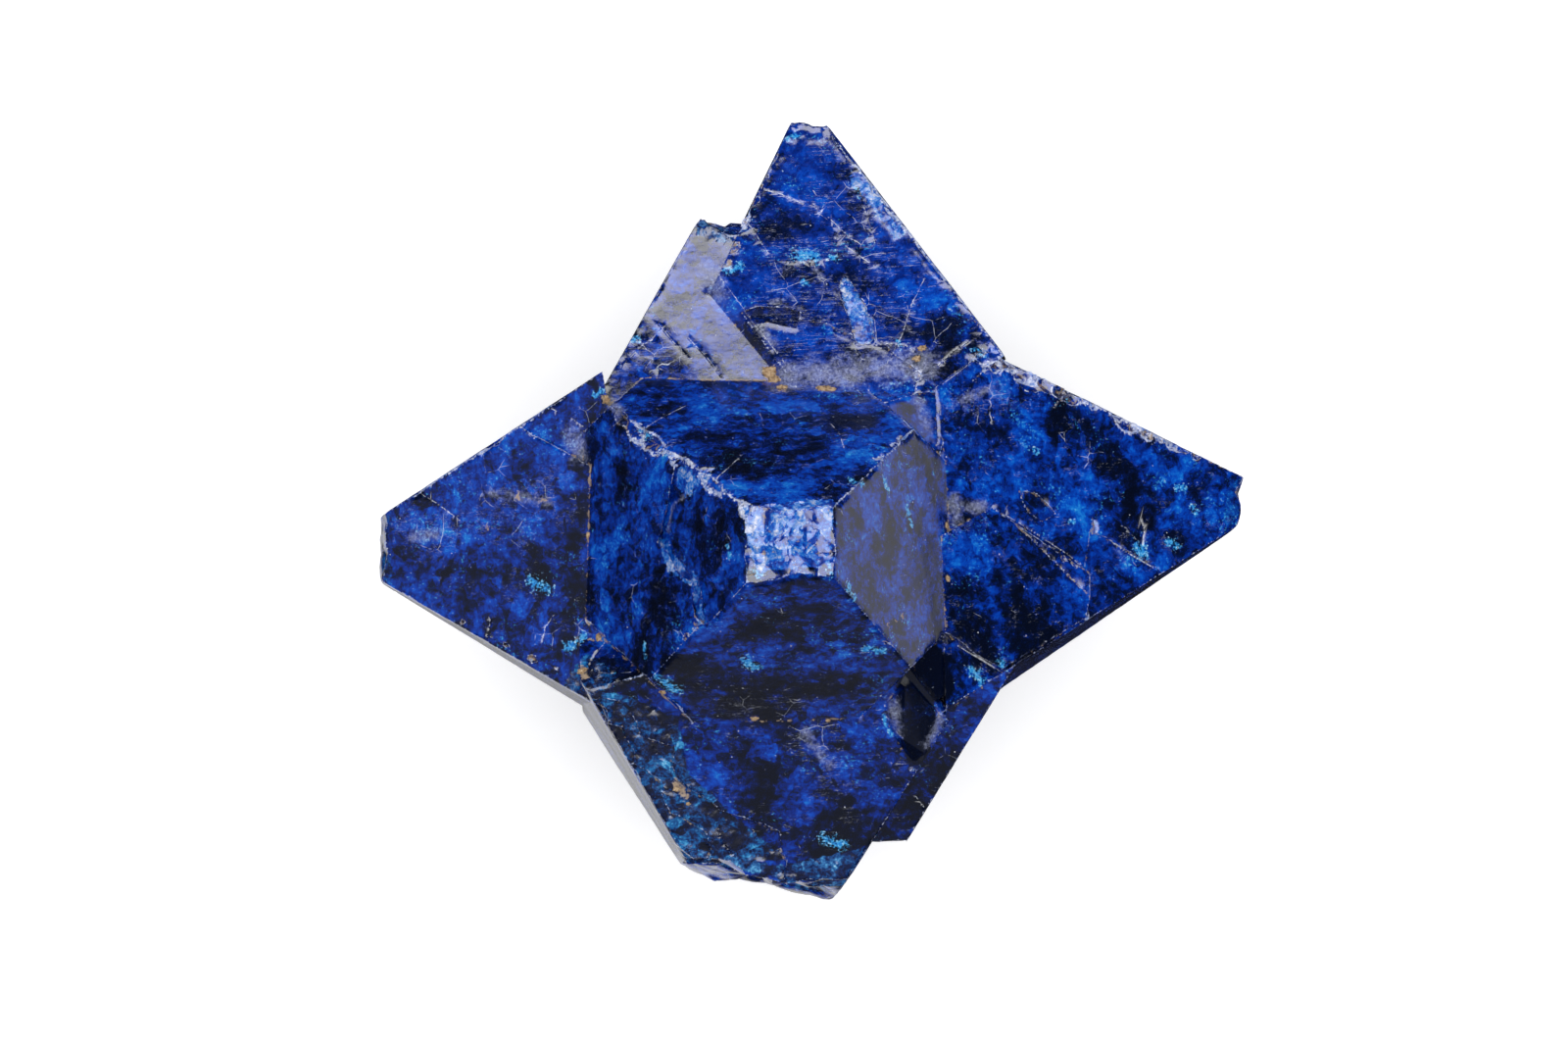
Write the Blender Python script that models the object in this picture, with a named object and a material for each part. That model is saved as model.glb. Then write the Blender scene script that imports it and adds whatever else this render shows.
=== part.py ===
# Cumengeite specimen: a six-pointed star of blue crystals that grew into one solid.
# Every arm is a square pyramid with the same slope, cut from a block by its crystal faces.
# The star lies on its back. One pyramid points up, four point sideways, and the one
# underneath is broken off flat: the origin is the middle of that break.

import math
import random

import bmesh
import bpy
from mathutils import Matrix, Vector, noise

MM = 0.001

# The star, in millimetres. Distances are measured from the middle of the star.
AXIAL_RATIO = 1.622  # height to half-width of every pyramid
MIDDLE_HEIGHT = 7.4  # from the rest face up to the middle of the star
BLOCK = 40.0  # the block that each crystal is cut from

# Each crystal: the arm it points along, its small twist in degrees about X, Y and Z,
# and how far each of its pyramid faces lies from the middle.
FRONT_FACES = {"left": 6.79, "right": 5.69, "up": 5.00, "down": 7.00}
FRONT_TWIST = (-2.62, 1.42, -0.98)
LEFT_FACES = {"front": 6.40, "back": 5.95, "up": 5.92, "down": 6.62}
LEFT_TWIST = (0.13, 1.79, -0.99)
RIGHT_FACES = {"front": 6.07, "back": 6.21, "down": 6.17}
RIGHT_TWIST = (-0.49, -4.25, -0.44)
TOP_FACES = {"front": 5.31, "back": 6.10, "left": 4.60, "right": 6.89}
TOP_TWIST = (4.40, -1.08, 3.97)
SIDE_FACES = {"front": 5.17, "back": 6.00, "left": 6.00, "right": 5.40}
SIDE_TWIST = (0.26, 0.85, 0.48)
BOTTOM_FACES = {"front": 6.93, "back": 6.04, "left": 6.95, "right": 5.80}
BOTTOM_TWIST = (-1.68, 1.26, -2.03)
BEHIND_FACES = {"front": 5.95, "back": 6.00, "left": 5.50, "right": 6.49}
BEHIND_TWIST = (-1.0, 0.8, -1.2)
BACK_FACES = {"left": 6.25, "right": 6.25, "up": 6.25, "down": 6.25}

# How far the arms reach before they are broken or worn off
FRONT_REACH = 10.1
LEFT_REACH = 10.6
RIGHT_REACH = 11.35
TOP_REACH = 10.2
SIDE_REACH = 7.75
BOTTOM_REACH = 8.9
BEHIND_REACH = 8.08

# The block in the middle, where the crystals meet, and the wider one behind it
CORE = {"left": 4.9, "right": 3.9, "up": 3.5, "down": 4.2, "front": 3.75, "back": 4.7}
ROOT_OUTLINE = ((-4.75, 3.75), (-5.2, -4.45), (4.95, -4.15), (5.0, 4.45))
ROOT_LOW, ROOT_HIGH = -4.75, 0.6
CORNER_DEPTH = 4.3  # how deep the hidden edges of the sideways crystals run

DIRECTION = {
    "left": Vector((-1, 0, 0)),
    "right": Vector((1, 0, 0)),
    "down": Vector((0, -1, 0)),
    "up": Vector((0, 1, 0)),
    "back": Vector((0, 0, -1)),
    "front": Vector((0, 0, 1)),
}

BLUE = (0.012, 0.045, 0.32, 1.0)
ROUGHNESS = 0.22


def clear_scene():
    for item in list(bpy.data.objects):
        bpy.data.objects.remove(item, do_unlink=True)


def new_object(name, bm):
    bmesh.ops.triangulate(bm, faces=bm.faces[:])
    bmesh.ops.recalc_face_normals(bm, faces=bm.faces[:])
    mesh = bpy.data.meshes.new(name)
    bm.to_mesh(mesh)
    bm.free()
    item = bpy.data.objects.new(name, mesh)
    bpy.context.scene.collection.objects.link(item)
    return item


def slice_off(bm, place, facing):
    """Cuts away what lies beyond a plane, on the side that it faces, and closes the cut."""
    geometry = bm.verts[:] + bm.edges[:] + bm.faces[:]
    bmesh.ops.bisect_plane(bm, geom=geometry, dist=1e-5, plane_co=place, plane_no=facing, clear_outer=True)
    open_edges = [edge for edge in bm.edges if edge.is_boundary]
    if open_edges:
        bmesh.ops.holes_fill(bm, edges=open_edges, sides=0)


def twist_matrix(twist):
    turn = Vector(twist)
    if turn.length == 0:
        return Matrix.Identity(3)
    return Matrix.Rotation(math.radians(turn.length), 3, turn)


def face_normal(arm, side, twist=(0, 0, 0)):
    """The outward normal of one pyramid face: mostly to its side, partly along its arm."""
    slope = math.hypot(1.0, AXIAL_RATIO)
    normal = DIRECTION[side] * (AXIAL_RATIO / slope) + DIRECTION[arm] * (1.0 / slope)
    return twist_matrix(twist) @ normal


def block():
    bm = bmesh.new()
    bmesh.ops.create_cube(bm, size=BLOCK)
    return bm


def crystal(name, arm, twist, faces, reach, foot, cuts=()):
    """A pyramid along one arm, from its foot near the middle out to its reach.

    Each further cut is a pair: the direction it faces, and its distance from the middle."""
    bm = block()
    for side, distance in faces.items():
        normal = face_normal(arm, side, twist)
        slice_off(bm, normal * distance, normal)
    slice_off(bm, DIRECTION[arm] * reach, DIRECTION[arm])
    slice_off(bm, DIRECTION[arm] * foot, -DIRECTION[arm])
    for facing, distance in cuts:
        normal = Vector(facing).normalized()
        slice_off(bm, normal * distance, normal)
    return new_object(name, bm)


def hidden_edges(arm, faces):
    """Cuts for the two back edges of a crystal, so that they end inside its neighbours."""
    slope = math.hypot(1.0, AXIAL_RATIO)
    width = {side: (far * slope - CORNER_DEPTH) / AXIAL_RATIO for side, far in faces.items()}
    sides = [side for side in faces if side not in ("front", "back")]
    root = math.sqrt(0.5)
    return [(DIRECTION[side] + DIRECTION["back"], (width[side] + width["back"]) * root) for side in sides]


def wall_through(first, second):
    """An upright cut through two points of the plan, with the kept side on its left."""
    along = Vector((second[0] - first[0], second[1] - first[1], 0)).normalized()
    facing = Vector((along.y, -along.x, 0))
    return facing, facing.dot(Vector((first[0], first[1], 0)))


def combine(solid, piece, operation):
    modifier = solid.modifiers.new(piece.name, "BOOLEAN")
    modifier.operation = operation
    modifier.solver = "EXACT"
    modifier.object = piece
    graph = bpy.context.evaluated_depsgraph_get()
    mesh = bpy.data.meshes.new_from_object(solid.evaluated_get(graph))
    solid.modifiers.clear()
    solid.data = mesh
    bpy.data.objects.remove(piece, do_unlink=True)


def join(solid, piece):
    combine(solid, piece, "UNION")


def cut(solid, piece):
    combine(solid, piece, "DIFFERENCE")


def ragged(outline, step, jitter, seed):
    """Puts uneven points along a closed outline, so that it reads as a broken edge."""
    dice = random.Random(seed)
    points = []
    for start, end in zip(outline, outline[1:] + outline[:1]):
        start = Vector(start)
        side = Vector(end) - start
        count = max(1, round(side.length / step))
        for number in range(count):
            shift = Vector((dice.uniform(-jitter, jitter), dice.uniform(-jitter, jitter)))
            points.append(start + side * (number / count) + shift)
    return points


def layer(name, outline, normal, low, high):
    """A plate with this outline in plan, between two heights along a face's normal."""
    bm = bmesh.new()
    corners = [bm.verts.new((x, y, -BLOCK / 2)) for x, y in outline]
    bottom = bm.faces.new(corners)
    top = bmesh.ops.extrude_face_region(bm, geom=[bottom])["geom"]
    moved = [item for item in top if isinstance(item, bmesh.types.BMVert)]
    bmesh.ops.translate(bm, verts=moved, vec=(0, 0, BLOCK))
    slice_off(bm, normal * high, normal)
    slice_off(bm, normal * low, -normal)
    return new_object(name, bm)


def grow_layer(solid, outline, normal, distance, thickness):
    join(solid, layer("grown_layer", outline, normal, distance - 0.6, distance + thickness))


def lose_layer(solid, outline, normal, distance, depth, jitter, seed):
    """Takes a flake with ragged edges off a crystal face."""
    edge = ragged(outline, 0.35, jitter, seed)
    cut(solid, layer("lost_layer", edge, normal, distance - depth, distance + 1.5))


def break_off(solid, place, facing, size, cell, relief, seed):
    """Breaks off what lies beyond a rough plane, which is size wide and size long."""
    count = round(size / cell)
    bm = bmesh.new()
    bmesh.ops.create_grid(bm, x_segments=count, y_segments=count, size=size / 2)
    offset = Vector((seed * 3.7, seed * 1.9, seed * 0.7))
    for vert in bm.verts:
        spot = vert.co + offset
        coarse = noise.noise(spot / (3.2 * cell))
        fine = noise.noise(spot / (1.3 * cell) + offset)
        ledge = noise.cell(spot / (2.1 * cell))
        vert.co.z = relief * (0.9 * coarse + 0.5 * fine + 0.35 * (ledge - 0.5))
        vert.co.x += 0.25 * cell * noise.noise(spot * 2.3)
        vert.co.y += 0.25 * cell * noise.noise(spot * 2.9)
    bmesh.ops.triangulate(bm, faces=bm.faces[:])
    top = bmesh.ops.extrude_face_region(bm, geom=bm.faces[:])["geom"]
    for item in top:
        if isinstance(item, bmesh.types.BMVert):
            item.co.z = 4.0
    cutter = new_object("break", bm)
    turn = Vector((0, 0, 1)).rotation_difference(Vector(facing)).to_matrix().to_4x4()
    cutter.data.transform(Matrix.Translation(Vector(place)) @ turn)
    cut(solid, cutter)


def chip(place, size, along, dice):
    """A small angular lump, longer along the edge, for a chip out of it."""
    bm = bmesh.new()
    bmesh.ops.create_icosphere(bm, subdivisions=1, radius=size)
    for vert in bm.verts:
        vert.co *= dice.uniform(0.75, 1.2)
    item = new_object("chip", bm)
    turn = Vector((1, 0, 0)).rotation_difference(along.normalized()).to_matrix().to_4x4()
    longer = Matrix.Diagonal((dice.uniform(1.4, 2.4), 1.0, 1.0, 1.0))
    item.data.transform(Matrix.Translation(place) @ turn @ longer)
    return item


def chip_edge(solid, start, end, count, size, seed):
    """Uneven chips along an edge."""
    dice = random.Random(seed)
    start = Vector(start)
    way = Vector(end) - start
    for number in range(count):
        along = (number + dice.uniform(0.15, 0.85)) / count
        shift = Vector([dice.uniform(-0.4, 0.4) * size for _ in range(3)])
        cut(solid, chip(start + way * along + shift, size * dice.uniform(0.6, 1.15), way, dice))


# The front pyramid. Upright cuts take its corners off; its upper right corner is worn
# down to a grey facet. A flake is gone from its left face, up to the broken tip.
FRONT_CORNERS = (
    ((-5.42, -2.30), (-3.06, -4.74)),
    ((1.50, -4.85), (3.60, -2.90)),
    ((-3.95, 3.65), (-5.45, 2.35)),
    ((3.62, 1.50), (2.10, 3.02)),
)
FRONT_FLAKE = ((-2.9, 1.7), (-3.1, 1.4), (-3.2, 0.7), (-3.3, 0.4), (-3.4, -0.2), (-3.6, -0.4),
               (-3.2, -1.1), (-2.7, -1.5), (-2.7, -2.4), (-2.5, -2.6), (-0.6, -1.5), (-0.4, 0.6))
WORN_FACET = ((0.32, 0.443, 0.837), 6.11)
WORN_RIGHT = 3.85
WORN_INNER = ((1.75, 2.90), (3.90, 0.75))
WORN_OUTER = ((3.85, 2.90), (2.90, 3.75))
WORN_FOOT = 3.4


def front_pyramid():
    cuts = [wall_through(*corner) for corner in FRONT_CORNERS]
    solid = crystal("front", "front", FRONT_TWIST, FRONT_FACES, FRONT_REACH + 0.6, 3.5, cuts)
    normal = face_normal("front", "left", FRONT_TWIST)
    lose_layer(solid, FRONT_FLAKE, normal, FRONT_FACES["left"], 0.17, 0.06, 11)
    break_off(solid, (-0.45, -0.4, FRONT_REACH), (-0.10, 0.10, 1), 4.2, 0.27, 0.28, 5)
    chip_edge(solid, (-4.5, 2.75, 5.4), (-2.9, 1.35, 8.05), 7, 0.30, 21)
    chip_edge(solid, (-2.9, 1.30, 8.2), (-2.1, 0.80, 9.4), 3, 0.36, 22)
    chip_edge(solid, (2.75, 2.15, 6.3), (0.8, 0.5, 9.9), 7, 0.11, 23)
    chip_edge(solid, (-1.6, -1.4, 10.2), (-3.4, -3.4, 7.3), 6, 0.09, 24)
    chip_edge(solid, (0.5, -1.4, 10.2), (2.5, -3.7, 6.9), 6, 0.08, 25)
    return solid


def worn_corner():
    """The grey facet under the upper right corner of the front pyramid."""
    facet = Vector(WORN_FACET[0]).normalized()
    planes = [(facet, WORN_FACET[1]), (DIRECTION["right"], WORN_RIGHT), (DIRECTION["back"], -WORN_FOOT)]
    planes += [wall_through(*WORN_INNER), wall_through(*WORN_OUTER)]
    for side in ("up", "right"):
        planes.append((face_normal("front", side, FRONT_TWIST), FRONT_FACES[side] - 0.02))
    bm = block()
    for facing, distance in planes:
        slice_off(bm, facing * distance, facing)
    return new_object("worn_corner", bm)


# The top arm's main crystal, with a bevel along its lower left, a dark ledge, a slipped
# flake and a rough strip above the front pyramid.
TOP_BEVEL = ((-0.56, 0.08, 0.82), 3.66)
TOP_LOWER_RIGHT = ((3.00, 2.25), (5.90, 4.45))
TOP_LEDGE = ((-1.1, 5.45), (-0.4, 5.5), (0.25, 5.3), (0.1, 4.95), (-0.9, 5.1))
TOP_FLAKE = ((1.25, 5.9), (1.42, 6.2), (1.85, 5.5), (2.05, 4.5), (1.6, 4.45), (1.5, 5.0))
TOP_STRIP = ((-2.6, 5.6), (0.1, 5.2), (2.3, 4.4), (3.1, 3.6), (2.9, 2.6), (-2.6, 2.6))


def top_crystal():
    cuts = [wall_through(*TOP_LOWER_RIGHT), TOP_BEVEL]
    cuts += hidden_edges("up", TOP_FACES)
    solid = crystal("top", "up", TOP_TWIST, TOP_FACES, TOP_REACH + 0.5, 3.1, cuts)
    normal = face_normal("up", "front", TOP_TWIST)
    distance = TOP_FACES["front"]
    lose_layer(solid, TOP_STRIP, normal, distance, 0.07, 0.07, 34)
    lose_layer(solid, TOP_LEDGE, normal, distance, 0.22, 0.05, 31)
    lose_layer(solid, TOP_FLAKE, normal, distance, 0.11, 0.02, 32)
    break_off(solid, (0.65, TOP_REACH + 0.05, 0.5), (0.0, 1.0, 0.12), 4.0, 0.24, 0.24, 7)
    chip_edge(solid, (1.55, 9.7, 1.0), (3.3, 7.4, 2.2), 8, 0.24, 35)
    chip_edge(solid, (3.4, 7.2, 2.3), (4.9, 4.6, 3.9), 8, 0.13, 36)
    chip_edge(solid, (-0.1, 9.7, 1.0), (-1.8, 6.1, 2.8), 8, 0.10, 37)
    return solid


# The lower crystal at the left of the top arm. A second face, turned a little, meets its
# main face along a slanting line.
SIDE_FACET_TURN = (2.0, -2.5, 1.4)
SIDE_FACET_SPOT = (-2.5, 4.4, 3.42)
SIDE_RIGHT_END = 2.5


def side_crystal():
    front = face_normal("up", "front", SIDE_TWIST)
    facet = twist_matrix(SIDE_FACET_TURN) @ front
    cuts = [(facet, facet.dot(Vector(SIDE_FACET_SPOT))), (DIRECTION["right"], SIDE_RIGHT_END)]
    cuts += hidden_edges("up", SIDE_FACES)
    solid = crystal("side", "up", SIDE_TWIST, SIDE_FACES, SIDE_REACH + 0.6, 3.08, cuts)
    break_off(solid, (-1.7, SIDE_REACH, 0.4), (0.22, 1.0, 0.10), 9.0, 0.26, 0.26, 9)
    return solid


# The left arm, with a lower step along its upper edge and a blunt tip.
LEFT_STEP = ((-7.6, 3.15), (-6.8, 2.62), (-5.1, 1.55), (-4.0, 1.8), (-4.0, 5.2), (-8.2, 3.6))
LEFT_INNER_END = ((-4.60, 2.50), (-4.78, 3.90))


def left_arm():
    cuts = [wall_through(*LEFT_INNER_END)] + hidden_edges("left", LEFT_FACES)
    solid = crystal("left", "left", LEFT_TWIST, LEFT_FACES, LEFT_REACH + 0.5, 4.2, cuts)
    normal = face_normal("left", "front", LEFT_TWIST)
    lose_layer(solid, LEFT_STEP, normal, LEFT_FACES["front"], 0.16, 0.02, 61)
    break_off(solid, (-LEFT_REACH, -0.15, 0.1), (-1.0, 0.06, 0.05), 3.6, 0.3, 0.16, 14)
    chip_edge(solid, (-10.2, 0.9, 1.4), (-5.2, 3.7, 4.4), 10, 0.09, 46)
    chip_edge(solid, (-10.3, -1.2, 1.3), (-6.0, -3.6, 4.0), 8, 0.09, 47)
    return solid


# The right arm. Its upper face is turned a little and its upper ridge is chipped.
# A small crystal stands proud at its front left.
RIGHT_UPPER_FACE = ((0.450, 0.893, 0.010), 5.93)
RIGHT_UPPER_LEFT = ((4.80, 4.15), (3.45, 3.20))
RIGHT_STEP = ((7.45, -0.1), (7.5, -0.55), (8.1, -0.85), (9.2, -1.5), (9.4, -3.0), (7.3, -3.6), (7.2, -1.5))
RIGHT_NOTCH = ((5.6, 0.6), (5.95, 0.55), (6.45, 0.05), (6.15, -0.15), (5.8, 0.1))
SMALL_OUTLINE = ((3.2, -0.65), (4.86, 0.21), (7.33, -1.53), (7.31, -2.10), (7.17, -2.64),
                 (4.98, -3.87), (4.22, -3.44), (3.2, -2.65))
SMALL_THICKNESS = 0.22


def right_arm():
    cuts = [wall_through(*RIGHT_UPPER_LEFT), RIGHT_UPPER_FACE]
    cuts += hidden_edges("right", {**RIGHT_FACES, "up": RIGHT_UPPER_FACE[1]})
    solid = crystal("right", "right", RIGHT_TWIST, RIGHT_FACES, RIGHT_REACH + 0.5, 3.5, cuts)
    normal = face_normal("right", "front", RIGHT_TWIST)
    distance = RIGHT_FACES["front"]
    lose_layer(solid, RIGHT_STEP, normal, distance, 0.08, 0.04, 41)
    lose_layer(solid, RIGHT_NOTCH, normal, distance, 0.09, 0.02, 42)
    grow_layer(solid, SMALL_OUTLINE, normal, distance, SMALL_THICKNESS)
    break_off(solid, (RIGHT_REACH, 0.2, 0.0), (1.0, -0.15, 0.05), 3.4, 0.26, 0.16, 12)
    chip_edge(solid, (4.6, 4.15, 4.3), (7.8, 2.65, 2.9), 10, 0.24, 43)
    chip_edge(solid, (8.0, 2.55, 2.8), (11.0, 1.05, 1.0), 10, 0.15, 44)
    chip_edge(solid, (5.0, 0.1, 4.45), (7.2, -1.5, 3.35), 5, 0.06, 45)
    return solid


# The bottom arm, broken off below, and broken in ledges along its left ridge.
BOTTOM_UPPER_LEFT = ((-0.25, 0.71, 0.66), 2.23)
BOTTOM_LEFT_END = ((-1.0, 0.0, 0.0), 5.62)
BOTTOM_UPPER_RIGHT = ((3.60, -5.15), (2.45, -3.60))
BOTTOM_LEDGES = (
    (((-5.3, -4.3), (-4.6, -4.4), (-4.2, -5.2), (-3.4, -5.6), (-3.3, -6.4), (-2.2, -7.2), (-0.8, -7.8),
      (-0.5, -9.5), (-4.0, -9.5), (-6.2, -5.5)), 0.16),
    (((-5.5, -4.8), (-4.7, -5.0), (-4.3, -5.9), (-3.7, -6.3), (-3.5, -7.2), (-2.6, -7.8), (-2.4, -9.5),
      (-4.2, -9.5), (-6.3, -5.5)), 0.34),
    (((-5.3, -5.4), (-4.8, -5.6), (-4.4, -6.5), (-4.0, -6.9), (-3.9, -7.6), (-3.0, -8.3), (-3.0, -9.5),
      (-4.4, -9.5), (-6.3, -6.0)), 0.58),
)


def bottom_arm():
    cuts = [BOTTOM_UPPER_LEFT, wall_through(*BOTTOM_UPPER_RIGHT), BOTTOM_LEFT_END]
    cuts += hidden_edges("down", BOTTOM_FACES)
    solid = crystal("bottom", "down", BOTTOM_TWIST, BOTTOM_FACES, BOTTOM_REACH + 1.0, 2.5, cuts)
    normal = face_normal("down", "front", BOTTOM_TWIST)
    for number, (outline, depth) in enumerate(BOTTOM_LEDGES):
        lose_layer(solid, outline, normal, BOTTOM_FACES["front"], depth, 0.08, 51 + number)
    break_off(solid, (-1.0, -8.75, 3.0), (-0.2, -0.98, 0.083), 15.0, 0.42, 0.36, 3)
    chip_edge(solid, (-5.4, -4.5, 5.2), (-3.6, -8.0, 3.3), 10, 0.26, 55)
    chip_edge(solid, (3.3, -5.2, 5.0), (1.0, -9.0, 2.9), 4, 0.05, 56)
    return solid


# The crystal behind the bottom arm, which shows at its right.
BEHIND_LOWER_FACET = ((0.30, -0.66, 0.69), 8.35)
BEHIND_UPPER_END = ((4.95, -3.95), (3.00, -4.95))


def behind_crystal():
    cuts = [BEHIND_LOWER_FACET, wall_through(*BEHIND_UPPER_END)]
    cuts += hidden_edges("down", BEHIND_FACES)
    return crystal("behind", "down", BEHIND_TWIST, BEHIND_FACES, BEHIND_REACH, 3.0, cuts)


# The small dark crystal in the corner between the front, bottom and right pyramids, and
# the flat face above it. Each point of a shoulder also goes down to the foot, inside the star.
DARK_FOOT = 3.6
DARK_SHOULDER = ((2.66, -3.84, 5.3), (2.33, -4.1, 5.5), (1.85, -4.79, 5.15), (2.08, -5.33, 4.86),
                 (2.37, -5.8, 4.6), (2.66, -6.15, 4.4), (2.85, -6.16, 4.38), (3.19, -5.58, 4.42),
                 (3.5, -5.15, 4.5), (3.56, -4.84, 4.62), (3.31, -4.51, 4.95), (2.9, -4.01, 5.25))
DARK_CROWN = ((2.48, -4.26, 5.92), (2.39, -5.54, 5.14), (2.93, -5.41, 5.06), (3.26, -4.96, 5.26),
              (2.95, -5.92, 4.76))
DARK_FACE = ((2.50, -3.60, 5.45), (3.10, -3.05, 5.20), (3.62, -2.95, 4.97), (3.60, -4.42, 4.83),
             (3.29, -4.59, 4.95), (2.85, -4.12, 5.23), (2.50, -3.80, 5.43))


def shouldered(name, shoulder, crown=()):
    """The smallest convex solid round the points of a shoulder, its foot and a crown."""
    bm = bmesh.new()
    for x, y, z in shoulder:
        bm.verts.new((x, y, z))
        bm.verts.new((x, y, DARK_FOOT))
    for corner in crown:
        bm.verts.new(corner)
    hull = bmesh.ops.convex_hull(bm, input=bm.verts[:])
    spare = [item for item in hull["geom_interior"] if isinstance(item, bmesh.types.BMVert)]
    bmesh.ops.delete(bm, geom=spare, context="VERTS")
    return new_object(name, bm)


def dark_crystal():
    solid = shouldered("dark", DARK_SHOULDER, DARK_CROWN)
    join(solid, shouldered("dark_face", DARK_FACE))
    return solid


# The pyramid at the back, broken off flat. The star rests on the break.
BACK_CORNER = 5.7


def back_stump():
    corners = [((x, y, 0), BACK_CORNER) for x in (-1, 1) for y in (-1, 1)]
    return crystal("back", "back", (0, 0, 0), BACK_FACES, MIDDLE_HEIGHT, 4.3, corners)


def core():
    bm = block()
    for side, distance in CORE.items():
        slice_off(bm, DIRECTION[side] * distance, DIRECTION[side])
    solid = new_object("core", bm)
    join(solid, layer("root", ROOT_OUTLINE, Vector((0, 0, 1)), ROOT_LOW, ROOT_HIGH))
    return solid


def fill_pockets(star):
    """Fills the small gaps left inside the star: only its outer surface is kept."""
    bm = bmesh.new()
    bm.from_mesh(star.data)
    bm.verts.ensure_lookup_table()
    unseen = set(bm.verts)
    shells = []
    while unseen:
        shell = {unseen.pop()}
        edge_of_shell = list(shell)
        while edge_of_shell:
            for edge in edge_of_shell.pop().link_edges:
                for vert in edge.verts:
                    if vert in unseen:
                        unseen.discard(vert)
                        shell.add(vert)
                        edge_of_shell.append(vert)
        shells.append(shell)
    shells.sort(key=len)
    for shell in shells[:-1]:
        bmesh.ops.delete(bm, geom=list(shell), context="VERTS")
    bm.to_mesh(star.data)
    bm.free()


def star_material():
    material = bpy.data.materials.new("cumengeite")
    material.use_nodes = True
    shader = material.node_tree.nodes["Principled BSDF"]
    shader.inputs["Base Color"].default_value = BLUE
    shader.inputs["Roughness"].default_value = ROUGHNESS
    return material


def build_star():
    clear_scene()
    star = core()
    star.name = "cumengeite_star"
    for piece in (front_pyramid(), worn_corner(), left_arm(), right_arm(), side_crystal(), top_crystal(),
                  behind_crystal(), bottom_arm(), dark_crystal(), back_stump()):
        join(star, piece)
    fill_pockets(star)
    star.data.name = "cumengeite_star"
    star.data.transform(Matrix.Scale(MM, 4) @ Matrix.Translation((0, 0, MIDDLE_HEIGHT)))
    star.data.materials.clear()
    star.data.materials.append(star_material())


build_star()
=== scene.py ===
"""A cumengeite specimen: a six-pointed star of blue crystals that lies on its broken back."""
import math

import bmesh
import bpy
import numpy as np
from mathutils import Matrix, Vector, noise
from mathutils.bvhtree import BVHTree
from mathutils.kdtree import KDTree


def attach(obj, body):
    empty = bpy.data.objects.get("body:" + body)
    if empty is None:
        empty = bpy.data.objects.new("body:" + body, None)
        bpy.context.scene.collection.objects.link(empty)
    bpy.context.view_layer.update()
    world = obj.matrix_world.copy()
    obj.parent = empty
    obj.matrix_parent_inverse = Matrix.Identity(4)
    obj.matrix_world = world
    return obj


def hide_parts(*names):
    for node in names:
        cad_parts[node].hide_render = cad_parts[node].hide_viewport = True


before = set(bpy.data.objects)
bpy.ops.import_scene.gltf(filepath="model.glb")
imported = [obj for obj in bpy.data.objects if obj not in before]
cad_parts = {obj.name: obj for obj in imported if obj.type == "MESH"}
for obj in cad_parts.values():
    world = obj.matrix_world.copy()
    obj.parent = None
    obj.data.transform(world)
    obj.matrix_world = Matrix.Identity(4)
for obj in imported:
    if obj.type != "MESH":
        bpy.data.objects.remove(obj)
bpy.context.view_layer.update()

MM = 0.001

# The camera looks almost straight down on the star, along the pyramid that points up.
# It stands a quarter of a metre away, so the star is seen with little perspective.
PICTURE = (1600, 1067)
CAMERA_DISTANCE = 250 * MM
SENSOR_WIDTH = 36.0
# How much of the star's middle one pixel of the photo takes in
PIXEL = 0.025 * MM
# The middle of the star, above the floor and in the photo, and how the star is turned to the
# camera: about this axis, by as many degrees as the axis is long
STAR_MIDDLE = Vector((0, 0, 7.4 * MM))
STAR_IN_PICTURE = (812, 538)
STAR_TURN = (-1.8568, 0.9936, 1.9424)

turn = Vector(STAR_TURN)
world_to_camera = Matrix.Rotation(math.radians(turn.length), 3, turn)
camera_to_world = world_to_camera.transposed()
star_right = (STAR_IN_PICTURE[0] - PICTURE[0] / 2) * PIXEL
star_up = (PICTURE[1] / 2 - STAR_IN_PICTURE[1]) * PIXEL
camera_place = STAR_MIDDLE + camera_to_world @ Vector((-star_right, -star_up, CAMERA_DISTANCE))
camera = bpy.data.objects.new("camera", bpy.data.cameras.new("camera"))
camera.data.sensor_width = SENSOR_WIDTH
camera.data.lens = SENSOR_WIDTH * CAMERA_DISTANCE / (PICTURE[0] * PIXEL)
camera.data.clip_start = 10 * MM
camera.matrix_world = Matrix.Translation(camera_place) @ camera_to_world.to_4x4()
bpy.context.scene.collection.objects.link(camera)
bpy.context.scene.camera = camera


# The star is one piece of cumengeite, a soft blue mineral. Its crystals grew into each
# other. Their faces are glassy, the ridges are chipped pale, and the tips are broken.

# Points of the solid that are closer than this become one, in millimetres
WELD_DISTANCE = 0.0002
# The longest edges of its fine mesh, in millimetres, on the faces that the photo shows and on
# the hidden ones below
FACE_EDGE = 0.34
HIDDEN_EDGE = 0.7
HIDDEN_BELOW = -1.5
# Near a ridge, a break, a crack or a cyan speck they are shorter, as far as these reach
RIDGE_EDGE = 0.16
RIDGE_REACH = 0.26
BREAK_EDGE = 0.11
BREAK_REACH = 0.15
CRACK_EDGE = 0.07
CRACK_REACH = 0.06
SPECK_EDGE = 0.14
SPECK_REACH = 0.20
COARSE_EDGES = (4.0, 2.0, 1.1, 0.6, 0.42)
FINE_ROUNDS = 4
# Edges that turn by more than the one are ridges or inner corners, and by less than the other
# they lie within a flat face
RIDGE_ANGLE = math.radians(18)
FLAT_ANGLE = math.radians(1)
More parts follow.
